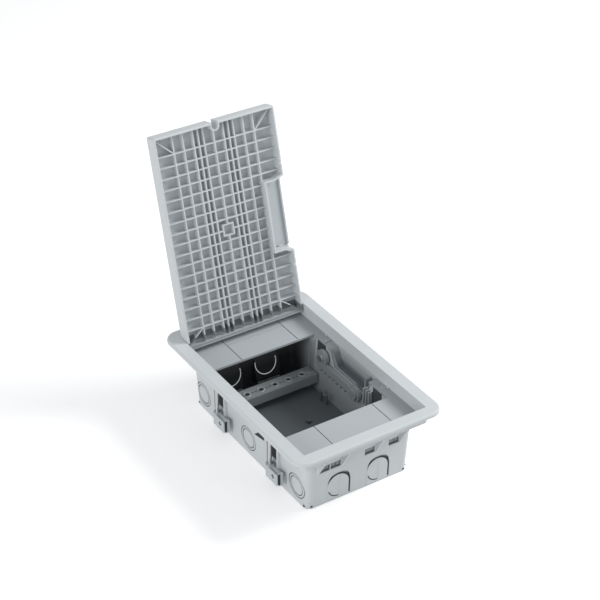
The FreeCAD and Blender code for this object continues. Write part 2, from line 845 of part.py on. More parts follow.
def make_lid_shell():
    body = new_body("lid_shell")
    top = s("frame_top")
    rim = top - s("lid_deep")
    under = top - s("lid_plate")
    rib_low = rim + s("rib_back")
    rib_high = under - rib_low
    half, front, rear = s("lid_half"), s("lid_front"), s("lid_rear")
    wall, mid, pitch = s("lid_wall"), s("rib_mid"), s("rib_pitch")
    in_half, in_front, in_rear = half - wall, front - wall, rear - wall
    pad(body, "lid_block", "XY", rim, s("lid_deep"), [("round", (-half, half, -front, rear, s("lid_rad")))])
    doc.recompute()
    dress(
        body, "Fillet", "lid_soft_edge", "Radius", 0.8,
        lambda edge: edge.BoundBox.ZMin > SIZES["frame_top"] - 0.01,
    )
    dress(
        body, "Chamfer", "lid_rear_relief", "Size", 1.0,
        lambda edge: edge.BoundBox.YMin > SIZES["lid_rear"] - 0.01
        and edge.BoundBox.ZMax < SIZES["frame_top"] - SIZES["lid_deep"] + 0.01,
    )
    hollow = pocket(body, "lid_hollow", "XY", rim, under - rim, [
        ("rect", (-in_half, in_half, -in_front, in_rear)),
    ])
    hollow.Reversed = True
    room = s("free_gap")
    notches = [
        ("rect", (
            lug_middle(sy) - s("lug_half") - room, lug_middle(sy) + s("lug_half") + room,
            rim - 1, deck_top + s("lug_high") + room,
        ))
        for sy in SIDES
    ]
    pocket(body, "lug_notches", "YZ", half + 1, wall + 2, notches)

    rib = s("rib_th") / 2
    row = mid - pitch * ((RIB_ROWS - 1) / 2)
    first = pad(body, "rib_row", "XY", rib_low, rib_high, [("rect", (-in_half, in_half, row - rib, row + rib))])
    pattern(body, "rib_rows", first, "Y_Axis", pitch * (RIB_ROWS - 1), RIB_ROWS)
    column = -pitch * ((RIB_COLUMNS - 1) / 2)
    first = pad(body, "rib_column", "XY", rib_low, rib_high, [
        ("rect", (column - rib, column + rib, -in_front, in_rear)),
    ])
    pattern(body, "rib_columns", first, "X_Axis", pitch * (RIB_COLUMNS - 1), RIB_COLUMNS)
    for sx in SIDES:
        x = pitch * 1.5 * sx
        pad(body, "rib_extra_" + tag(sx), "XY", rib_low, rib_high, [("rect", (x - rib, x + rib, -in_front, in_rear))])
        for sy in SIDES:
            end_x, end_y = -column * sx, mid + pitch * ((RIB_ROWS - 1) / 2) * sy
            corner_x = in_half * sx
            corner_y = in_rear if sy > 0 else -in_front
            outline = [
                (corner_x, corner_y - rib * 1.4 * sy),
                (corner_x, corner_y),
                (corner_x - rib * 1.4 * sx, corner_y),
                (end_x, end_y + rib * 1.4 * sy),
                (end_x, end_y),
                (end_x + rib * 1.4 * sx, end_y),
            ]
            pad(body, "rib_diagonal_" + tag(sx, sy), "XY", rib_low, rib_high, [("poly", outline)])
    ring = pitch / 2 + rib
    clear = pocket(body, "hub_clear", "XY", rib_low, rib_high, [("rect", (-ring, ring, mid - ring, mid + ring))])
    clear.Reversed = True
    core = ring - s("rib_th")
    pad(body, "hub_ring", "XY", rib_low, rib_high, [
        ("rect", (-ring, ring, mid - ring, mid + ring)),
        ("rect", (-core, core, mid - core, mid + core)),
    ])
    make_outlet(body, rim, under, mid)
    make_grip(body, rim, under)
    for sx in SIDES:
        start = in_half - 2.0 if sx > 0 else -in_half - 0.5
        pad(body, "hinge_boss_" + tag(sx), "YZ", start, 2.5, [
            ("circle", (s("hinge_y"), s("hinge_z"), s("hinge_boss"))),
        ])
        start = half + 1 if sx > 0 else -in_half + 2.0
        pocket(body, "hinge_bore_" + tag(sx), "YZ", start, wall + 3.0, [
            ("circle", (s("hinge_y"), s("hinge_z"), s("hinge_rad"))),
        ])
    body.Placement = lid_swing()
    return body


def make_outlet(body, rim, under, mid):
    """The cable notch in the lid's side: walls first, then the space and the flap's slot."""
    half, th = s("outlet_half"), s("outlet_wall")
    inner, straight, side = s("outlet_in"), s("outlet_straight"), s("lid_half")
    flare = half + s("outlet_flare")

    def outline(grow, reach):
        return [
            (inner - grow, mid - half - grow),
            (straight, mid - half - grow),
            (reach, mid - flare - grow),
            (reach, mid + flare + grow),
            (straight, mid + half + grow),
            (inner - grow, mid + half + grow),
        ]

    pad(body, "outlet_walls", "XY", rim, under - rim, [("poly", outline(th, side - 0.5))])
    space = pocket(body, "outlet_space", "XY", rim, under - rim, [("poly", outline(dim(0), side + 1))])
    space.Reversed = True
    pocket(body, "flap_slot", "XY", s("frame_top"), s("lid_plate"), [
        ("rect", (inner, side + 1, mid - half, mid + half)),
    ])
    ledge_low = under - 1.6
    for sy in SIDES:
        end = mid + half * sy
        y0, y1 = (end - 1.5, end + 0.5) if sy > 0 else (end - 0.5, end + 1.5)
        pad(body, "flap_ledge_" + tag(0, sy), "XY", ledge_low, 1.6, [("rect", (straight - 1, straight + 5, y0, y1))])
    axis_x, axis_z = flap_axis()
    bore = pocket(body, "flap_pin_bore", "XZ", -(mid + half + th - 0.4), (half + th) * 2 - 0.8, [
        ("circle", (axis_x, axis_z, s("flap_pin"))),
    ])
    bore.Reversed = True


def make_grip(body, rim, under):
    """The notch in the free edge for a finger or a driver, with its own thin wall."""
    half, deep, front = s("grip_half"), s("grip_deep"), s("lid_front")
    wall = 1.4
    reach = -front + deep - half
    pad(body, "grip_wall", "XY", rim, under - rim, [
        ("rect", (-half - wall, half + wall, -front + 0.5, reach)),
    ])
    pad(body, "grip_round_wall", "XY", rim, under - rim, [("circle", (dim(0), reach, half + wall))])
    pocket(body, "grip_slot", "XY", s("frame_top"), s("lid_deep"), [("rect", (-half, half, -front - 1, reach))])
    pocket(body, "grip_round", "XY", s("frame_top"), s("lid_deep"), [("circle", (dim(0), reach, half))])


def flap_axis():
    return s("outlet_in") + s("flap_gap") + s("flap_eye"), s("frame_top") - s("flap_eye")


def make_flap():
    body = new_body("cable_flap")
    x, z = flap_axis()
    gap, plate = s("flap_gap"), s("lid_plate")
    half, mid = s("outlet_half") - gap, s("rib_mid")
    top = s("frame_top")
    side = s("lid_half")
    profile = [
        (x, top),
        (side, top),
        (side, top - plate - s("flap_lip")),
        (side - 1.8, top - plate - s("flap_lip")),
        (side - 1.8, top - plate),
        (x, top - plate),
    ]
    pad(body, "flap_plate", "XZ", -(mid + half), half * 2, [("poly", profile)])
    pad(body, "flap_knuckle", "XZ", -(mid + half), half * 2, [("circle", (x, z, s("flap_eye")))])
    pocket(body, "flap_eye_bore", "XZ", -(mid - half) + 1, half * 2 + 2, [
        ("circle", (x, z, s("flap_pin") + s("run_fit"))),
    ])
    body.Placement = lid_swing()
    return body


def make_lid_pins():
    fit_half = s("open_half_x") + s("tub_wall")
    pins = []
    for sx, label in ((-1, "left"), (1, "right")):
        inner = s("lid_half") - s("lid_wall") - 2.0
        length = fit_half - 0.4 - inner
        name = "hinge_pin_" + label
        pins.append(rod(name, s("hinge_rad"), length, inner * sx, s("hinge_y"), s("hinge_z"), "+X" if sx > 0 else "-X"))
    x, z = flap_axis()
    half = s("outlet_half") + s("outlet_wall") - 0.4
    pin = new_body("flap_pin")
    pad(pin, "flap_pin_rod", "XZ", -(s("rib_mid") + half), half * 2, [("circle", (x, z, s("flap_pin")))])
    pin.Placement = lid_swing()
    return pins, pin


# ---------------------------------------------------------------- cable comb


def make_comb():
    body = new_body("cable_comb")
    x, th = s("comb_x"), s("comb_th")
    low, high = s("comb_low"), s("comb_high")
    py, pz = s("comb_pivot_y"), s("comb_pivot_z")
    ly, lz = s("comb_latch_y"), s("comb_latch_z")
    bar = [
        (ly, low),
        (py + 8.0, low),
        (py + 11.0, low + 3.0),
        (py + 11.0, pz - 4.0),
        (py, pz),
        (py - 6.0, high),
        (ly, high),
    ]
    pad(body, "comb_bar", "YZ", x, th, [("poly", bar)])
    pad(body, "comb_pivot_disc", "YZ", x, th, [("circle", (py, pz, s("comb_disc")))])
    pad(body, "comb_latch_disc", "YZ", x, th, [("circle", (ly, lz, s("comb_disc")))])
    pad(body, "comb_pivot_ring", "YZ", x - 1.0, dim(1.5), [("circle", (py, pz, s("comb_disc") * 0.6))])
    tooth = s("tooth_pitch") * 0.22
    start = py + 2.0
    first = pad(body, "comb_tooth", "YZ", x, th, [
        ("poly", [
            (start - tooth * 0.6, low - s("tooth_deep")),
            (start + tooth * 0.6, low - s("tooth_deep")),
            (start + tooth, low + 0.5),
            (start - tooth, low + 0.5),
        ]),
    ])
    made = pattern(body, "comb_teeth", first, "Y_Axis", s("tooth_pitch") * (COMB_TEETH - 1), COMB_TEETH)
    made.Reversed = True
    pocket(body, "comb_pivot_bore", "YZ", x + th + 1, th + 4, [("circle", (py, pz, s("comb_pin") + s("run_fit")))])
    pocket(body, "comb_latch_bore", "YZ", x + th + 1, th + 4, [("circle", (ly, lz, s("comb_stem") + s("run_fit")))])
    return body


def make_comb_pin():
    y, z = s("comb_pivot_y"), s("comb_pivot_z")
    head_x = s("comb_x") - 1.0 - s("run_fit")
    end_x = s("comb_x") + s("comb_th") + s("free_gap") + 2.3
    shank = rod("comb_pin_shank", s("comb_pin"), end_x - head_x + 0.5, head_x - 0.5, y, z, "+X")
    head = rod("comb_pin_head", s("comb_pin") + 1.2, 1.2, head_x - 1.2, y, z, "+X")
    return fuse("comb_pivot_pin", [shank, head])


def make_comb_knob():
    x, th = s("comb_x"), s("comb_th")
    y, z = s("comb_latch_y"), s("comb_latch_z")
    fit = s("run_fit")
    head = rod("knob_head", s("comb_disc") * 0.72, 2.6, x - 2.6 - fit, y, z, "+X")
    stem = rod("knob_stem", s("comb_stem"), th + 0.5 + fit * 2, x - fit * 2, y, z, "+X")
    collar = rod("knob_collar", s("comb_stem") + 0.5, 0.5, x + th + fit, y, z, "+X")
    slot = block("knob_slot", x - 3.5, x - 1.5, y - 4.2, y + 4.2, z - 0.7, z + 0.7)
    return cut("comb_knob", fuse("knob_solid", [head, stem, collar]), [slot])


# ---------------------------------------------------------------- build and write

nodes["trim_frame"] = make_trim_frame()
nodes["floor_tray"] = make_floor_tray()
gap = s("cover_gap")
nodes["near_cover_plate"] = make_cover(
    "near_cover_plate", -s("open_half_y") + s("tub_wall") + gap, -s("cut_near")
)
nodes["far_cover_plate"] = make_cover("far_cover_plate", s("cut_far"), s("cover_end") - gap)
nodes["near_rail"] = make_rail("near_rail", -1)
nodes["far_rail"] = make_rail("far_rail", 1)
nodes["rail_screws"] = make_rail_screws()
for sx, sy in CORNERS:
    claw = make_claw(sx, sy)
    for item in claw:
        nodes[item.Label] = item
nodes["lid_shell"] = make_lid_shell()
nodes["cable_flap"] = make_flap()
hinge_pins, flap_pin = make_lid_pins()
nodes["hinge_pin_left"], nodes["hinge_pin_right"] = hinge_pins
nodes["flap_pin"] = flap_pin
nodes["cable_comb"] = make_comb()
nodes["comb_pivot_pin"] = make_comb_pin()
nodes["comb_knob"] = make_comb_knob()
doc.recompute()

for obj in doc.Objects:
    if "Invalid" in obj.State or "Error" in obj.State:
        raise RuntimeError("%s: %s" % (obj.Name, obj.State))

os.makedirs("parts", exist_ok=True)
for name, obj in nodes.items():
    shape = obj.Shape
    if shape.isNull() or not shape.isValid():
        raise RuntimeError(name + " is not a valid shape")
    box = shape.BoundBox
    print("%-24s solids %d volume %9.1f  x %.1f %.1f  y %.1f %.1f  z %.1f %.1f" % (
        name, len(shape.Solids), shape.Volume,
        box.XMin, box.XMax, box.YMin, box.YMax, box.ZMin, box.ZMax,
    ))
    shape.exportStep("parts/%s.step" % name)
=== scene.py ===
"""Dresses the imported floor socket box: moulded plastic, plated steel, moulding marks, stage, camera."""

import json
import math

import bmesh
import bpy
from mathutils import Matrix, Vector


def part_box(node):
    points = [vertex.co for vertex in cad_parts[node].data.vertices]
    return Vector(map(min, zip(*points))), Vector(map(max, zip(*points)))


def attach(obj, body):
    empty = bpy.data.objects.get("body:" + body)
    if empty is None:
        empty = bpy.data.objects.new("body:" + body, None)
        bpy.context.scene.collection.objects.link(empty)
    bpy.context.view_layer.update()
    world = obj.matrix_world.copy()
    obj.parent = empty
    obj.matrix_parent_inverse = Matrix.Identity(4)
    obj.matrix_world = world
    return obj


bl_info = {
    "name": "Floor Socket Box",
    "version": (1, 0, 0),
    "blender": (4, 5, 0),
    "location": "3D View > Sidebar > Floor Box",
    "description": "Materials, moulding details and a studio for a floor socket box",
    "category": "Object",
}

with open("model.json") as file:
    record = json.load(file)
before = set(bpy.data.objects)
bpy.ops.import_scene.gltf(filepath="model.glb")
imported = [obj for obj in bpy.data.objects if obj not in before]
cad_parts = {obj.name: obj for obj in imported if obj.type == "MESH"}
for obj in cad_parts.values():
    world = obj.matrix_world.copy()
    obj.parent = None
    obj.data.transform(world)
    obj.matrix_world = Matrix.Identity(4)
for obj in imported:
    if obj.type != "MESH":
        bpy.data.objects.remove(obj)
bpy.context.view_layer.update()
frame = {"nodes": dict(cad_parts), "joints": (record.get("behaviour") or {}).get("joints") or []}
NODES = frame["nodes"]
JOINTS = {joint["name"]: joint for joint in frame["joints"]}
MM = 0.001

TRAY_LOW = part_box("floor_tray")[0]
FRAME_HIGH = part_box("trim_frame")[1]
DECK_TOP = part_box("near_cover_plate")[1].z
LID_HINGE = Vector(JOINTS["lid_hinge"]["pos_m"])
# The joint counts up to 0 with the lid open, so this turn is 0 and lid_grey paints its cell shade by height
# alone.
# The negative of the lower limit would be the opening angle, and paint the shade into each cell by its own
# depth.
LID_TURN = math.radians(JOINTS["lid_hinge"]["range_deg"][1])

ENDS = (("near", -1), ("far", 1))
SIDES = (("left", -1), ("right", 1))


def mm(*lengths):
    """Lengths given in millimetres, in metres."""
    return tuple(length * MM for length in lengths)


def lid_point(x, y, z):
    """Where a point of the closed lid lies after the turn above, in metres."""
    turn = Matrix.Rotation(-LID_TURN, 3, "X")
    return LID_HINGE + turn @ (Vector((x, y, z)) - LID_HINGE)


# ---------------------------------------------------------------- sizes and colours


class FloorBoxColours(bpy.types.PropertyGroup):
    """Finishes of the socket box."""

    shell: bpy.props.FloatVectorProperty(
        name="Shell grey", description="Light grey of the frame, deck and tray outside",
        default=(0.585, 0.615, 0.63), size=3, min=0.0, max=1.0, subtype="COLOR",
    )
    # Painted shade: the sunk deck is drawn in this duller grey for the shade of the recess that it lies in.
    deck: bpy.props.FloatVectorProperty(
        name="Deck grey", description="Duller grey of the sunk deck and its cover plates",
        default=(0.43, 0.46, 0.475), size=3, min=0.0, max=1.0, subtype="COLOR",
    )
    # Painted shade: the darker grey painted into the tray's inside, the recess below the deck, the trough
    # and the lid's cells.
    painted_shade_grey: bpy.props.FloatVectorProperty(
        name="Deep grey", description="Darker grey at the bottom of the tray and of the lid's cells",
        default=(0.10, 0.115, 0.125), size=3, min=0.0, max=1.0, subtype="COLOR",
    )
    trim: bpy.props.FloatVectorProperty(
        name="Trim grey", description="Pale grey of the claws and the flap",
        default=(0.50, 0.54, 0.56), size=3, min=0.0, max=1.0, subtype="COLOR",
    )
    rail: bpy.props.FloatVectorProperty(
        name="Rail grey", description="Middle grey of the accessory rails and the comb",
        default=(0.27, 0.295, 0.305), size=3, min=0.0, max=1.0, subtype="COLOR",
    )
    # Besides real gaps, score lines and seams, this near black is painted shade and shadow on the side
    # walls, claw niches, claw ends, the far tray wall and the entry gaps.
    dark: bpy.props.FloatVectorProperty(
        name="Gap grey", description="Near black of gaps, score lines and slots",
        default=(0.022, 0.025, 0.028), size=3, min=0.0, max=1.0, subtype="COLOR",
    )
    plate: bpy.props.FloatVectorProperty(
        name="Zinc", description="Plated steel of the screws, nuts and pins",
        default=(0.62, 0.63, 0.65), size=3, min=0.0, max=1.0, subtype="COLOR",
    )
    floor: bpy.props.FloatVectorProperty(
        name="Studio floor", description="Plain pale floor under the box",
        default=(0.86, 0.86, 0.86), size=3, min=0.0, max=1.0, subtype="COLOR",
    )


class FloorBoxSizes(bpy.types.PropertyGroup):
    """Small sizes of the finish and of the studio."""

    edge: bpy.props.FloatProperty(
        name="Edge radius", description="Softness of moulded edges",
        default=0.35 * MM, min=0.0, unit="LENGTH", precision=5,
    )
    grain: bpy.props.FloatProperty(
        name="Spark texture", description="Width of one grain of the moulded texture",
        default=0.45 * MM, min=0.01 * MM, unit="LENGTH", precision=5,
    )
    lens: bpy.props.FloatProperty(
        name="Lens", description="Focal length on a 36 mm wide sensor, in millimetres",
        default=103.8, min=10.0,
    )
    azimuth: bpy.props.FloatProperty(
        name="Camera azimuth", description="Turn of the camera to the left of the front",
        default=math.radians(32.785), unit="ROTATION",
    )
    elevation: bpy.props.FloatProperty(
        name="Camera elevation", description="Height of the camera above the horizon",
        default=math.radians(32.977), unit="ROTATION",
    )
    distance: bpy.props.FloatProperty(
        name="Camera distance", description="From the camera to the point it is aimed at",
        default=1.7911, min=0.1, unit="LENGTH",
    )
    rise: bpy.props.FloatProperty(
        name="Aim rise", description="How far the aim lies above the origin, across the view",
        default=0.13909, unit="LENGTH",
    )
    side: bpy.props.FloatProperty(
        name="Aim shift", description="How far the aim lies to the right of the origin, across the view",
        default=0.00055, unit="LENGTH",
    )


def colours():
    return bpy.context.scene.floor_box_colours


def sizes():
    return bpy.context.scene.floor_box_sizes


# ---------------------------------------------------------------- shader maths


class Value:
    """A socket in a node tree; arithmetic on it adds the nodes that work it out."""

    def __init__(self, tree, socket):
        self.tree = tree
        self.socket = socket

    def math(self, operation, *others):
        return self.tree.node("ShaderNodeMath", {"operation": operation}, [self, *others]).out(0)

    def __add__(self, other):
        return self.math("ADD", other)

    __radd__ = __add__

    def __sub__(self, other):
        return self.math("SUBTRACT", other)

    def __rsub__(self, other):
        return self.tree.node("ShaderNodeMath", {"operation": "SUBTRACT"}, [other, self]).out(0)

    def __mul__(self, other):
        return self.math("MULTIPLY", other)

    __rmul__ = __mul__

    def __abs__(self):
        return self.math("ABSOLUTE")

    def at_least(self, other):
        return self.math("MAXIMUM", other)

    def at_most(self, other):
        return self.math("MINIMUM", other)

    def rise(self, start, end):
        """0 up to start, 1 from end on, smooth between."""
        settings = {"interpolation_type": "SMOOTHSTEP", "clamp": True}
        inputs = {"Value": self, "From Min": start, "From Max": end}
        return self.tree.node("ShaderNodeMapRange", settings, inputs).out(0)

    def fall(self, start, end):
        """1 up to start, 0 from end on, smooth between."""
        return 1.0 - self.rise(start, end)


class Node:
    """A node of a tree, whose outputs are read as values."""

    def __init__(self, tree, node):
        self.tree = tree
        self.node = node

    def out(self, key):
        return Value(self.tree, self.node.outputs[key])


class Finish:
    """A material's node tree, with one method for every kind of node."""

    def __init__(self, name):
        self.material = bpy.data.materials.new(name)
        self.material.use_nodes = True
        self.tree = self.material.node_tree
        self.tree.nodes.clear()

    def node(self, kind, settings=None, inputs=()):
        """A new node with its settings, and its inputs linked or set, by name or in order."""
        node = self.tree.nodes.new(kind)
        for key, setting in (settings or {}).items():
            setattr(node, key, setting)
        pairs = inputs.items() if isinstance(inputs, dict) else enumerate(inputs)
        for key, value in pairs:
            if isinstance(value, Value):
                self.tree.links.new(value.socket, node.inputs[key])
            else:
                node.inputs[key].default_value = value
        return Node(self, node)

    def mix(self, factor, first, second, blend="MIX"):
        """Colours first and second mixed by factor."""
        node = self.node("ShaderNodeMix", {"data_type": "RGBA", "blend_type": blend, "clamp_factor": True})
        sockets = [s for s in node.node.inputs if s.enabled]
        for socket, value in zip(sockets, (factor, first, second)):
            if isinstance(value, Value):
                self.tree.links.new(value.socket, socket)
            elif isinstance(value, (int, float)):
                socket.default_value = value
            else:
                socket.default_value = (*tuple(value)[:3], 1.0)
        return Value(self, [s for s in node.node.outputs if s.enabled][0])

    def place(self):
        """The point on the piece, in metres of its own frame, as a vector and as three values."""
        point = self.node("ShaderNodeTexCoord").out("Object")
        split = self.node("ShaderNodeSeparateXYZ", None, [point])
        return point, split.out(0), split.out(1), split.out(2)

    def noise(self, point, grain, detail=2.0, roughness=0.5):
        """Even noise from 0 to 1 whose features are about grain metres across."""
        inputs = {"Vector": point, "Scale": 1.0 / grain, "Detail": detail, "Roughness": roughness}
        return self.node("ShaderNodeTexNoise", None, inputs).out(0)

    def bump(self, height, strength, distance):
        """A normal from height, on edges softened by the edge radius."""
        soft = self.node("ShaderNodeBevel", {"samples": 4}, {"Radius": sizes().edge}).out(0)
        inputs = {"Height": height, "Normal": soft, "Strength": strength, "Distance": distance}
        return self.node("ShaderNodeBump", None, inputs).out(0)

    def surface(self, shader):
        """The finished material, showing the shader."""
        self.node("ShaderNodeOutputMaterial", None, {"Surface": shader})
        return self.material


# ---------------------------------------------------------------- materials


def moulded_plastic(name, pick_colour, rough=0.5):
    """Matte moulded plastic: spark-eroded grain, slow shade changes and faint flow marks."""
    finish = Finish(name)
    point, x, y, z = finish.place()
    cloud_width, flow_width, relief = mm(38.0, 7.0, 0.06)
    grain = finish.noise(point, sizes().grain, 3.0, 0.6)
    cloud = finish.noise(point, cloud_width)
    flow = finish.noise(point, flow_width, 3.0, 0.6)
    colour = pick_colour(finish, x, y, z)
    shade = 0.955 + 0.06 * cloud + 0.03 * flow
    tone = finish.node("ShaderNodeCombineColor", None, [shade, shade, shade]).out(0)
    colour = finish.mix(1.0, colour, tone, "MULTIPLY")
    roughness = rough - 0.05 + 0.1 * flow
    normal = finish.bump(grain, 0.10, relief)
    shader = finish.node("ShaderNodeBsdfPrincipled", None, {
        "Base Color": colour, "Roughness": roughness, "Normal": normal, "Specular IOR Level": 0.4,
    }).out(0)
    return finish.surface(shader)


def plain(colour):
    """Colour rule for pieces that are one grey all over."""

    def pick(finish, x, y, z):
        return finish.mix(0.0, colour, colour)

    return pick


# Lines of the solids that colour rules and details follow, in metres from the frame's origin.
# A pair is where a fade starts and ends.
CORNER_X, CORNER_Y = mm(52.9, 99.4)
CORNER_FADE = mm(5.9, 6.7)
CORNER_LEAN = 0.042
ENTRY_X, ENTRY_HALF = mm(23.3, 13.0)
ENTRY_FADE = mm(13.3, 13.8)
ENTRY_TOP_FADE = mm(36.0, 37.0)
RAMP_FADE, RAMP_SLOPE = mm(95.5, 95.9), 0.3257
KNOCKOUT_Y, KNOCKOUT_Z = mm(90.0, 20.5)
KNOCKOUT_RADII = mm(13.5, 10.5)
CLAW_Y = 51.0 * MM
NICHE_FADE_X, NICHE_FADE_Y, NICHE_FADE_Z = mm(63.9, 64.1), mm(7.6, 8.0), mm(27.6, 28.0)
RECESS_FADE_X, RECESS_FADE_Y = mm(70.9, 71.3), mm(118.3, 118.7)
TROUGH_IN, TROUGH_OUT, TROUGH_DOWN = mm(63.4, 63.9), mm(80.0, 80.5), mm(47.5, 56.0)
SEAM_LEFT, SEAM_RIGHT = mm(27.6, 41.6)
SEAM_FADE = mm(0.35, 0.6)
COVER_FADE = mm(66.9, 67.2)
CELL_FADE, PLATE_FADE, SKIRT_FADE = mm(5.9, 9.5), mm(14.4, 14.9), mm(69.6, 70.3)


def tray_outside(x, y, z):
    """1 on the tray's outer faces, 0 on its inner ones, round the corners too."""
    dx = (abs(x) - CORNER_LEAN * z - CORNER_X).at_least(0.0)
    dy = (abs(y) - CORNER_LEAN * z - CORNER_Y).at_least(0.0)
    low, high = CORNER_FADE
    return (dx * dx + dy * dy).rise(low * low, high * high)


def tray_grey(finish, x, y, z):
    """Light outside and in the cable entries; inside, painted shade deepens the grey towards the floor,
    more at the far end and less on the right wall.
    """
    ramp = (abs(y) - RAMP_SLOPE * z).rise(*RAMP_FADE)
    entry = ramp * abs(abs(x) - ENTRY_X).fall(*ENTRY_FADE) * z.fall(*ENTRY_TOP_FADE)
    foot = z.fall(*mm(1.0, 2.4))
    outer = tray_outside(x, y, z).at_least(entry).at_least(foot)
    depth = z.fall(*mm(5.0, 66.0))
    far = y.rise(*mm(60.0, 98.0))
    right = x.rise(*mm(56.0, 58.0)) * (1.0 - far)
    # Painted shade: how far the inside goes from the shell grey towards the darker grey, more near the
    # floor and at the far end.
    shade = ((0.45 + 0.5 * depth) * (1.0 - 0.45 * right) + 0.12 * far).at_most(1.0)
    inner = finish.mix(shade, colours().shell, finish.mix(far * 0.8, colours().painted_shade_grey, colours().dark))
    body = finish.mix(outer, inner, colours().shell)
    return finish.mix(tray_lines_and_shade(x, y, z), body, colours().dark)


def tray_lines_and_shade(x, y, z):
    """How dark the knockout lines are on the side walls, and the painted shade in the niches behind the
    fixing screws.
    """
    marks = None
    above = abs(z - KNOCKOUT_Z)
    half, edge = 0.6 * MM, 1.02
    for centre in (-KNOCKOUT_Y, 0.0, KNOCKOUT_Y):
        along = y - centre
        reach = along * along + above * above
        for radius in KNOCKOUT_RADII:
            low, high = (radius - half) ** 2, (radius + half) ** 2
            line = reach.rise(low, low * edge) * reach.fall(high * (2.0 - edge), high)
            marks = line if marks is None else marks.at_least(line)
    # Painted shade that darkens the niche behind each fixing screw.
    niche_shade = abs(abs(y) - CLAW_Y).fall(*NICHE_FADE_Y) * z.rise(*NICHE_FADE_Z) * abs(x).fall(*NICHE_FADE_X)
    return (marks * 0.72).at_least(niche_shade * 0.92) * abs(x).rise(*mm(59.5, 60.0))


def frame_grey(finish, x, y, z):
    """Light flange and recess walls; the deck in a duller grey as painted shade, with more painted shade to
    the right, below the deck and in the trough; dark seams.
    """
    inside = abs(x).fall(*RECESS_FADE_X) * abs(y).fall(*RECESS_FADE_Y)
    deck = z.fall(DECK_TOP + 0.1 * MM, DECK_TOP + 0.9 * MM) * inside
    sunk = z.fall(DECK_TOP - 8 * MM, DECK_TOP - 1 * MM) * inside
    trough = x.rise(*TROUGH_IN) * x.fall(*TROUGH_OUT) * z.fall(*TROUGH_DOWN)
    right = x.rise(SEAM_RIGHT, 71 * MM) * deck
    # Painted shade: the deck takes the duller deck grey, and darkens further below the deck, in the trough
    # and towards the recess's right wall.
    colour = finish.mix(deck, colours().shell, colours().deck)
    for darkness in (sunk * 0.62, trough * 0.9, right * 0.3):
        colour = finish.mix(darkness, colour, colours().painted_shade_grey)
    seam = abs(x + SEAM_LEFT).fall(*SEAM_FADE).at_least(abs(x - SEAM_RIGHT).fall(*SEAM_FADE))
    beyond = abs(y).rise(*COVER_FADE) * deck
    return finish.mix(seam * beyond * 0.75, colour, colours().dark)


def lid_grey(finish, x, y, z):
    """Light shell, with painted shade between the two heights of the cells."""
    rim = lid_point(0, 0, FRAME_HIGH.z - 15 * MM)
    inward = (lid_point(0, 0, 1) - lid_point(0, 0, 0)).normalized()
    depth = (y - rim.y) * inward.y + (z - rim.z) * inward.z
    cell = depth.rise(*CELL_FADE) * depth.fall(*PLATE_FADE)
    return finish.mix(cell * abs(x).fall(*SKIRT_FADE) * 0.8, colours().shell, colours().painted_shade_grey)


def plated_steel(name, colour):
    """Bright zinc plate with fine turning lines."""
    finish = Finish(name)
    point = finish.place()[0]
    lines = finish.node("ShaderNodeMapping", None, {"Vector": point, "Scale": (1.0, 1.0, 9.0)}).out(0)
    streak_width, cloud_width, relief = mm(0.9, 3.0, 0.04)
    streak = finish.noise(lines, streak_width, 3.0, 0.65)
    cloud = finish.noise(point, cloud_width)
    tint = finish.mix(cloud, tuple(c * 0.82 for c in colour), colour)
    shader = finish.node("ShaderNodeBsdfPrincipled", None, {
        "Base Color": tint,
        "Metallic": 0.9,
        "Roughness": 0.26 + 0.2 * streak,
        "Normal": finish.bump(streak, 0.12, relief),
    }).out(0)
    return finish.surface(shader)


def painted_glow_finish(name, colour, strength):
    """Plastic with a painted glow: its emission stands in for light through the thin plastic."""
    made = moulded_plastic(name, plain(colour))
    shader = made.node_tree.nodes["Principled BSDF"]
    shader.inputs["Emission Color"].default_value = (*colour, 1.0)
    shader.inputs["Emission Strength"].default_value = strength
    return made


def once(name, make, *details):
    """The named material, made the first time that it is asked for."""
    return bpy.data.materials.get(name) or make(name, *details)


def tray_plastic():
    return once("tray_plastic", moulded_plastic, tray_grey)


def lid_plastic():
    return once("lid_plastic", moulded_plastic, lid_grey)


def frame_plastic():
    return once("frame_grey_plastic", moulded_plastic, frame_grey)


def shell_plastic():
    return once("shell_grey_plastic", moulded_plastic, plain(colours().shell))


def trim_plastic():
    return once("trim_grey_plastic", moulded_plastic, plain(colours().trim), 0.42)


def rail_plastic():
    return once("rail_grey_plastic", moulded_plastic, plain(colours().rail), 0.42)


# Near black for real gaps and marks, and for the pieces of painted shade and shadow.
def gaps_and_painted_shade():
    return once("gap_grey_plastic", moulded_plastic, plain(colours().dark), 0.7)


# Shell grey with a painted glow, for the bright rings inside the end walls.
def painted_glow_plastic():
    return once("lit_grey_plastic", painted_glow_finish, colours().shell, 0.55)


def zinc():
    return once("zinc_plate", plated_steel, tuple(colours().plate))


def dress(node, look):
    """Give a CAD node its finish."""
    mesh = NODES[node].data
    mesh.materials.clear()
    mesh.materials.append(look)


# ---------------------------------------------------------------- detail shapes


def as_mesh(shape, name):
    """The finished bmesh as a named mesh."""
    mesh = bpy.data.meshes.new(name)
    shape.to_mesh(mesh)
    shape.free()
    return mesh


def join_loops(shape, first, second):
    """Faces between two closed loops of as many vertices."""
    for i in range(len(first)):
        j = (i + 1) % len(first)
        shape.faces.new((first[i], first[j], second[j], second[i]))


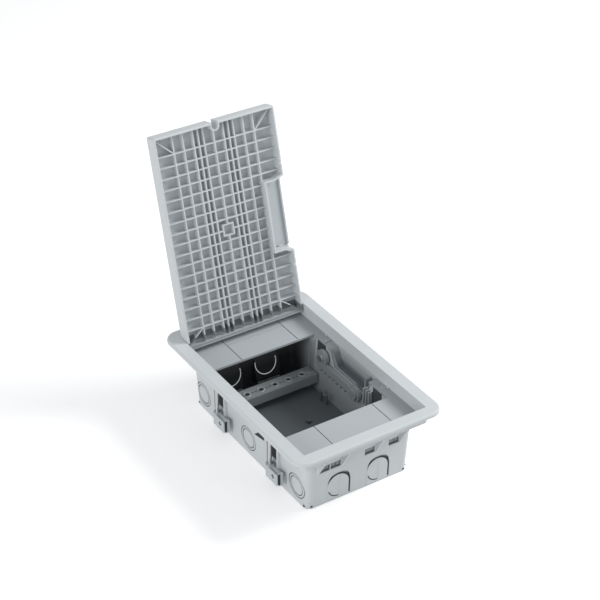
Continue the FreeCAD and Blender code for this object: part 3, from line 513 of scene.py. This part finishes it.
def plate(name, outline, place, thick, soft=0.0):
    """A flat plate with the outline, whose points place(u, v, w) sets in space; w runs through it."""
    shape = bmesh.new()
    low = [shape.verts.new(place(u, v, 0.0)) for u, v in outline]
    high = [shape.verts.new(place(u, v, thick)) for u, v in outline]
    shape.faces.new(low[::-1])
    top = shape.faces.new(high)
    join_loops(shape, low, high)
    bmesh.ops.recalc_face_normals(shape, faces=shape.faces)
    if soft > 0.0:
        edges = list(top.edges)
        bmesh.ops.bevel(shape, geom=edges, offset=soft, segments=2, profile=0.6, affect="EDGES")
    return as_mesh(shape, name)


def add_piece(mesh, look, body):
    """Link a piece named as its mesh, give it its finish and let it ride on its body."""
    piece = bpy.data.objects.new(mesh.name, mesh)
    bpy.context.scene.collection.objects.link(piece)
    mesh.materials.append(look)
    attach(piece, body)


def arc(cx, cy, radius, start, end, count):
    """Points along an arc, angles in degrees."""
    turns = [math.radians(start + (end - start) * i / count) for i in range(count + 1)]
    return [(cx + radius * math.cos(t), cy + radius * math.sin(t)) for t in turns]


def strip(cx, cy, radius, width, start, end, count):
    """Outline of a strip that follows an arc."""
    outer = arc(cx, cy, radius + width / 2, start, end, count)
    return outer + arc(cx, cy, radius - width / 2, end, start, count)


def arch(cx, half, low, high):
    """Outline of an upright arch with a round head."""
    return [(cx - half, low), (cx + half, low), *arc(cx, high - half, half, 0.0, 180.0, 24)]


def upright(left, right, low, high):
    """Outline of an upright rectangle."""
    return [(left, low), (right, low), (right, high), (left, high)]


def plus(arm, half):
    """Outline of a plus sign."""
    return [(half, arm), (-half, arm), (-half, half), (-arm, half), (-arm, -half), (-half, -half),
            (-half, -arm), (half, -arm), (half, -half), (arm, -half), (arm, half), (half, half)]


def end_wall(side, level=0.0):
    """Places u, v on the tray's drafted end wall, w outwards from it."""
    foot, lean = 106.9 * MM + level, 2.5 / 62.8
    return lambda u, v, w: (u, (foot + lean * v + w) * side, v)


def side_wall(side, level=0.0):
    """Places u, v on the tray's drafted side wall, w outwards from it."""
    foot, lean = 60.4 * MM + level, 3.0 / 62.8
    return lambda u, v, w: ((foot + lean * v + w) * side, u, v)


def boss_wall(side):
    """Places u, v on the sloping boss behind a cable entry, w inwards from it."""
    foot, slope = 95.7 * MM, 0.2875
    return lambda u, v, w: (u, (foot + slope * v - w) * side, v)


# ---------------------------------------------------------------- detail pieces


def entry_details(tag, sx, sy):
    """Flush arched plate over a cable entry, with a dark gap round it that is widened on the right and top
    into painted shade, a centre rib and a score arc.
    """
    cx = ENTRY_X * sx
    on, raised = end_wall(sy, -0.02 * MM), end_wall(sy, 0.5 * MM)
    gap = arch(cx, ENTRY_HALF + 0.4 * MM, *mm(3.0, 32.2))
    add_piece(plate("entry_gap_and_shade_" + tag, gap, on, 0.17 * MM), gaps_and_painted_shade(), "housing")
    # The plate sits left of the entry's middle, so the dark gap shows widest on the right and at the top as
    # painted shade of the entry's edge.
    plate_x = cx - 1.05 * MM
    cover = arch(plate_x, ENTRY_HALF - 0.6 * MM, *mm(2.8, 31.0))
    add_piece(plate("entry_plate_" + tag, cover, on, *mm(0.55, 0.15)), shell_plastic(), "housing")
    rib = upright(cx - 0.35 * MM, cx + 0.35 * MM, *mm(4.2, 28.0))
    add_piece(plate("entry_rib_" + tag, rib, raised, *mm(0.35, 0.1)), shell_plastic(), "housing")
    score = strip(plate_x, *mm(16.4, 11.6, 1.1), 196.0, 272.0, 20)
    add_piece(plate("entry_score_" + tag, score, raised, 0.12 * MM), gaps_and_painted_shade(), "housing")


def inner_ring(tag, sx, sy):
    """Scored ring on the inside of an end wall, round its cable entry, made bright by a painted glow."""
    ring = strip((ENTRY_X - 1.2 * MM) * sx, *mm(23.2, 12.9, 0.8), 0.0, 358.0, 56)
    add_piece(plate("inner_ring_" + tag, ring, boss_wall(sy), 0.4 * MM), painted_glow_plastic(), "housing")


def trough_lip():
    """Lip that closes the slit between the tray's cable window and the cable trough."""
    right = [mm(31.8, 41.8), mm(41.5, 62.6), mm(35.2, 62.6), mm(24.9, 46.4)]
    outline = right + [(-u, v) for u, v in right[::-1]]
    lip = plate("trough_lip", outline, lambda u, v, w: (63.52 * MM + w, u, v), 0.66 * MM)
    add_piece(lip, rail_plastic(), "housing")


def side_gusset(label, sx):
    """Triangular gusset between the side wall and the flange above it, in the darker rail grey as painted
    shade.
    """
    corners = (mm(62.3, 42.0), mm(72.2, 61.6), mm(63.0, 61.6))
    shape = bmesh.new()
    near, far = ([shape.verts.new((out * sx, y, z)) for out, z in corners] for y in mm(-27.2, -25.2))
    shape.faces.new(near)
    shape.faces.new(far[::-1])
    join_loops(shape, near, far)
    bmesh.ops.recalc_face_normals(shape, faces=shape.faces)
    add_piece(as_mesh(shape, "side_gusset_" + label), rail_plastic(), "housing")


def side_details(label, sx):
    """Gusset and a painted shadow beside it on a side wall, and the small notches at the foot of its
    corners.
    """
    side_gusset(label, sx)
    # Painted shadow: a dark triangle on the side wall beside the gusset.
    shadow_outline = [mm(-12.8, 34.5), mm(-32.0, 51.5), mm(-32.0, 38.2)]
    shade = plate("side_painted_shadow_" + label, shadow_outline, side_wall(sx, 0.05 * MM), 0.12 * MM)
    add_piece(shade, gaps_and_painted_shade(), "housing")
    notch = (mm(-1.6, 1.2), mm(1.5, 2.7), mm(-1.6, 4.2))
    for end, sy in ENDS:
        tag = f"{label}_{end}"
        for wall, middle, sign, place in (
            ("end", 55.6 * MM, sx, end_wall(sy, -0.05 * MM)),
            ("side", 102.4 * MM, sy, side_wall(sx, -0.05 * MM)),
        ):
            outline = [((middle + u) * sign, v) for u, v in notch]
            add_piece(plate(f"foot_notch_{wall}_{tag}", outline, place, 0.2 * MM), gaps_and_painted_shade(), "housing")


def rail_lips(end, side):
    """Raised lips round the six large holes of a rail."""
    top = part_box(end + "_rail")[1].z
    middle, pitch, holes = 61.5 * MM * side, 17.07 * MM, 6
    profile = (mm(4.1, 0.0), mm(3.9, 0.7), mm(3.2, 0.7), mm(3.05, 0.0))
    for i in range(holes):
        x = pitch * (i - (holes - 1) / 2)
        shape = bmesh.new()
        loops = [
            [shape.verts.new((u, v, top + height)) for u, v in arc(x, middle, radius, 0.0, 350.0, 35)]
            for radius, height in profile
        ]
        for first, second in zip(loops, loops[1:]):
            join_loops(shape, first, second)
        bmesh.ops.recalc_face_normals(shape, faces=shape.faces)
        add_piece(as_mesh(shape, f"rail_lip_{end}_{i + 1}"), trim_plastic(), "housing")


def claw_painted_shadows(label, sx, sy):
    """Painted shadow on the side wall: dark plates beside and behind a fixing screw."""
    for part, near, far, foot in (("beside", 9.2, 14.2, 15.0), ("behind", -4.3, 6.2, 30.0)):
        outline = upright(CLAW_Y * sy + near * MM, CLAW_Y * sy + far * MM, *mm(foot, 61.5))
        shadow_plate = plate(f"claw_painted_shadow_{part}_{label}", outline, side_wall(sx, 0.05 * MM), 0.12 * MM)
        add_piece(shadow_plate, gaps_and_painted_shade(), "housing")


def claw_details(label, sx, sy):
    """Cover plate with a cross mark on a claw's outer face, painted shade on the near end of its bar, and
    painted shadow beside and behind its screw.
    """
    claw_painted_shadows(label, sx, sy)
    low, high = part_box("claw_arm_" + label)
    outer = low.x if sx < 0 else high.x
    y0, y1 = low.y + 0.3 * MM, high.y - 8.5 * MM
    z0, z1 = low.z + 0.2 * MM, high.z - 1.2 * MM
    cut, trim = 1.5 * MM, MM
    cover = [(y0, z0 + cut), (y0 + cut, z0), (y1 - cut, z0), (y1, z0 + cut),
             (y1, z1 - trim), (y1 - trim, z1), (y0 + trim, z1), (y0, z1 - trim)]
    cross_y, cross_z = CLAW_Y * sy - 13.7 * MM, (z0 + z1) / 2 + MM
    end = upright(outer, outer - 2.6 * MM * sx, low.z + 1.5 * MM, high.z - 0.5 * MM)

    def on_face(u, v, w):
        return (outer + w * sx, u, v)

    def on_cover(u, v, w):
        return (outer + (w + 0.95 * MM) * sx, cross_y + u, cross_z + v)

    def on_end(u, v, w):
        return (u, low.y - w, v)

    for mesh, look in (
        (plate("claw_plate_" + label, cover, on_face, *mm(1.0, 0.3)), trim_plastic()),
        (plate("claw_shade_" + label, end, on_end, 0.1 * MM), gaps_and_painted_shade()),
        (plate("claw_cross_" + label, plus(*mm(2.6, 0.6)), on_cover, 0.15 * MM), gaps_and_painted_shade()),
    ):
        add_piece(mesh, look, "arm_" + label)


# ---------------------------------------------------------------- operators


class FLOORBOX_OT_tray(bpy.types.Operator):
    """Finish the floor tray and add its entry plates, rings with a painted glow, lip, gussets, painted
    shadows and notches
    """

    bl_idname = "floorbox.tray"
    bl_label = "Floor Tray"

    def execute(self, context):
        dress("floor_tray", tray_plastic())
        entries = [(f"{end}_{side}", sx, sy) for end, sy in ENDS for side, sx in SIDES]
        for entry in entries:
            entry_details(*entry)
        for entry in entries:
            inner_ring(*entry)
        trough_lip()
        for label, sx in SIDES:
            side_details(label, sx)
        return {"FINISHED"}


class FLOORBOX_OT_frame(bpy.types.Operator):
    """Finish the trim frame and the deck covers"""

    bl_idname = "floorbox.frame"
    bl_label = "Trim Frame"

    def execute(self, context):
        for node in ("trim_frame", "near_cover_plate", "far_cover_plate"):
            dress(node, frame_plastic())
        return {"FINISHED"}


class FLOORBOX_OT_rails(bpy.types.Operator):
    """Finish the accessory rails and their screws, and add the lips round their holes"""

    bl_idname = "floorbox.rails"
    bl_label = "Accessory Rails"

    def execute(self, context):
        for node in ("near_rail", "far_rail"):
            dress(node, rail_plastic())
        dress("rail_screws", zinc())
        for end, sy in ENDS:
            rail_lips(end, sy)
        return {"FINISHED"}


class FLOORBOX_OT_claws(bpy.types.Operator):
    """Finish the four fixing claws and add their cover plates and painted shadows"""

    bl_idname = "floorbox.claws"
    bl_label = "Fixing Claws"

    def execute(self, context):
        for node in NODES:
            if node.startswith("claw_arm"):
                dress(node, trim_plastic())
            elif node.startswith("claw_"):
                dress(node, zinc())
        for side, sx in SIDES:
            for end, sy in ENDS:
                claw_details(f"{side}_{end}", sx, sy)
        return {"FINISHED"}


class FLOORBOX_OT_lid(bpy.types.Operator):
    """Finish the ribbed lid, its pins and the cable flap"""

    bl_idname = "floorbox.lid"
    bl_label = "Lid and Flap"

    def execute(self, context):
        dress("lid_shell", lid_plastic())
        dress("cable_flap", trim_plastic())
        for node in ("hinge_pin_left", "hinge_pin_right", "flap_pin"):
            dress(node, zinc())
        return {"FINISHED"}


class FLOORBOX_OT_comb(bpy.types.Operator):
    """Finish the cable comb, its pivot and its lock"""

    bl_idname = "floorbox.comb"
    bl_label = "Cable Comb"

    def execute(self, context):
        for node in ("cable_comb", "comb_knob"):
            dress(node, rail_plastic())
        dress("comb_pivot_pin", zinc())
        return {"FINISHED"}


class FLOORBOX_OT_stage(bpy.types.Operator):
    """Build the pale floor, the soft lamps and the camera"""

    bl_idname = "floorbox.stage"
    bl_label = "Stage"

    def execute(self, context):
        build_floor()
        build_world()
        build_lamps()
        build_camera()
        context.scene.view_settings.view_transform = "Standard"
        return {"FINISHED"}


# ---------------------------------------------------------------- stage


def seen_directly(finish):
    """1 for rays from the camera and for those that a mirror or glass sends on."""
    rays = finish.node("ShaderNodeLightPath")
    shiny = rays.out("Is Camera Ray").at_least(rays.out("Is Glossy Ray"))
    return shiny.at_least(rays.out("Is Transmission Ray"))


WHITE = (1.0, 1.0, 1.0, 1.0)
SKY = (0.97, 0.985, 1.0, 1.0)
SENSOR_WIDTH = 36.0
FAR_CLIP = 20.0


def build_floor():
    """Plain pale floor just under the tray, which keeps the box's shadow."""
    mesh = bpy.data.meshes.new("studio_floor")
    plane = bmesh.new()
    bmesh.ops.create_grid(plane, x_segments=1, y_segments=1, size=4.0)
    plane.to_mesh(mesh)
    plane.free()
    floor = bpy.data.objects.new("studio_floor", mesh)
    floor.location.z = TRAY_LOW.z - 0.2 * MM
    bpy.context.scene.collection.objects.link(floor)
    finish = Finish("studio_floor")
    cloud = finish.noise(finish.place()[0], 0.3)
    tint = finish.mix(cloud, tuple(c * 0.99 for c in colours().floor), colours().floor)
    paint = finish.node("ShaderNodeBsdfDiffuse", None, {"Color": tint}).out(0)
    lift = finish.node("ShaderNodeEmission", None, {"Color": WHITE, "Strength": 0.35}).out(0)
    bright = finish.node("ShaderNodeAddShader", None, [paint, lift]).out(0)
    both = finish.node("ShaderNodeMixShader", None, [seen_directly(finish), paint, bright]).out(0)
    floor.data.materials.append(finish.surface(both))


def build_world():
    """Even soft light, which is plain white where it is seen directly."""
    world = bpy.data.worlds.new("studio_world")
    bpy.context.scene.world = world
    world.use_nodes = True
    finish = Finish.__new__(Finish)
    finish.tree = world.node_tree
    finish.tree.nodes.clear()
    light = finish.node("ShaderNodeBackground", None, {"Color": SKY, "Strength": 0.5}).out(0)
    white = finish.node("ShaderNodeBackground", None, {"Color": WHITE, "Strength": 1.0}).out(0)
    both = finish.node("ShaderNodeMixShader", None, [seen_directly(finish), light, white]).out(0)
    finish.node("ShaderNodeOutputWorld", None, {"Surface": both})


LAMPS = (
    # name, place, aim, width, power
    ("key_lamp", (1.35, -0.35, 1.25), (0.0, 0.0, 0.05), 0.7, 22.0),
    ("side_lamp", (-1.7, -0.5, 0.75), (0.0, 0.0, 0.12), 0.9, 13.0),
)


def build_lamps():
    """Square area lamps, each turned to its aim."""
    for name, place, aim, width, power in LAMPS:
        lamp = bpy.data.lights.new(name, "AREA")
        lamp.shape = "SQUARE"
        lamp.size = width
        lamp.energy = power
        holder = bpy.data.objects.new(name, lamp)
        holder.location = place
        holder.rotation_euler = (Vector(aim) - Vector(place)).to_track_quat("-Z", "Y").to_euler()
        bpy.context.scene.collection.objects.link(holder)


def build_camera():
    """Camera on the left of the front, above the box, turned to the point it is aimed at."""
    az, el = sizes().azimuth, sizes().elevation
    back = Vector((-math.sin(az) * math.cos(el), -math.cos(az) * math.cos(el), math.sin(el)))
    right = Vector((math.cos(az), -math.sin(az), 0.0))
    up = back.cross(right)
    aim = right * sizes().side + up * sizes().rise
    data = bpy.data.cameras.new("camera")
    data.lens = sizes().lens
    data.sensor_width = SENSOR_WIDTH
    data.clip_end = FAR_CLIP
    camera = bpy.data.objects.new("camera", data)
    camera.location = aim + back * sizes().distance
    camera.rotation_euler = (-back).to_track_quat("-Z", "Y").to_euler()
    bpy.context.scene.collection.objects.link(camera)
    bpy.context.scene.camera = camera


# ---------------------------------------------------------------- add-on


class FLOORBOX_PT_panel(bpy.types.Panel):
    """Lists the pieces of the socket box"""

    bl_idname = "FLOORBOX_PT_panel"
    bl_label = "Floor Socket Box"
    bl_space_type = "VIEW_3D"
    bl_region_type = "UI"
    bl_category = "Floor Box"

    def draw(self, context):
        for operator in OPERATORS:
            self.layout.operator(operator.bl_idname)


OPERATORS = (
    FLOORBOX_OT_tray,
    FLOORBOX_OT_frame,
    FLOORBOX_OT_rails,
    FLOORBOX_OT_claws,
    FLOORBOX_OT_lid,
    FLOORBOX_OT_comb,
    FLOORBOX_OT_stage,
)
CLASSES = (FloorBoxColours, FloorBoxSizes, *OPERATORS, FLOORBOX_PT_panel)


def register():
    for cls in CLASSES:
        bpy.utils.register_class(cls)
    bpy.types.Scene.floor_box_colours = bpy.props.PointerProperty(type=FloorBoxColours)
    bpy.types.Scene.floor_box_sizes = bpy.props.PointerProperty(type=FloorBoxSizes)


def unregister():
    del bpy.types.Scene.floor_box_sizes
    del bpy.types.Scene.floor_box_colours
    for cls in reversed(CLASSES):
        bpy.utils.unregister_class(cls)


def main():
    register()
    for operator in OPERATORS:
        group, name = operator.bl_idname.split(".")
        getattr(getattr(bpy.ops, group), name)()


if __name__ == "__main__":
    main()
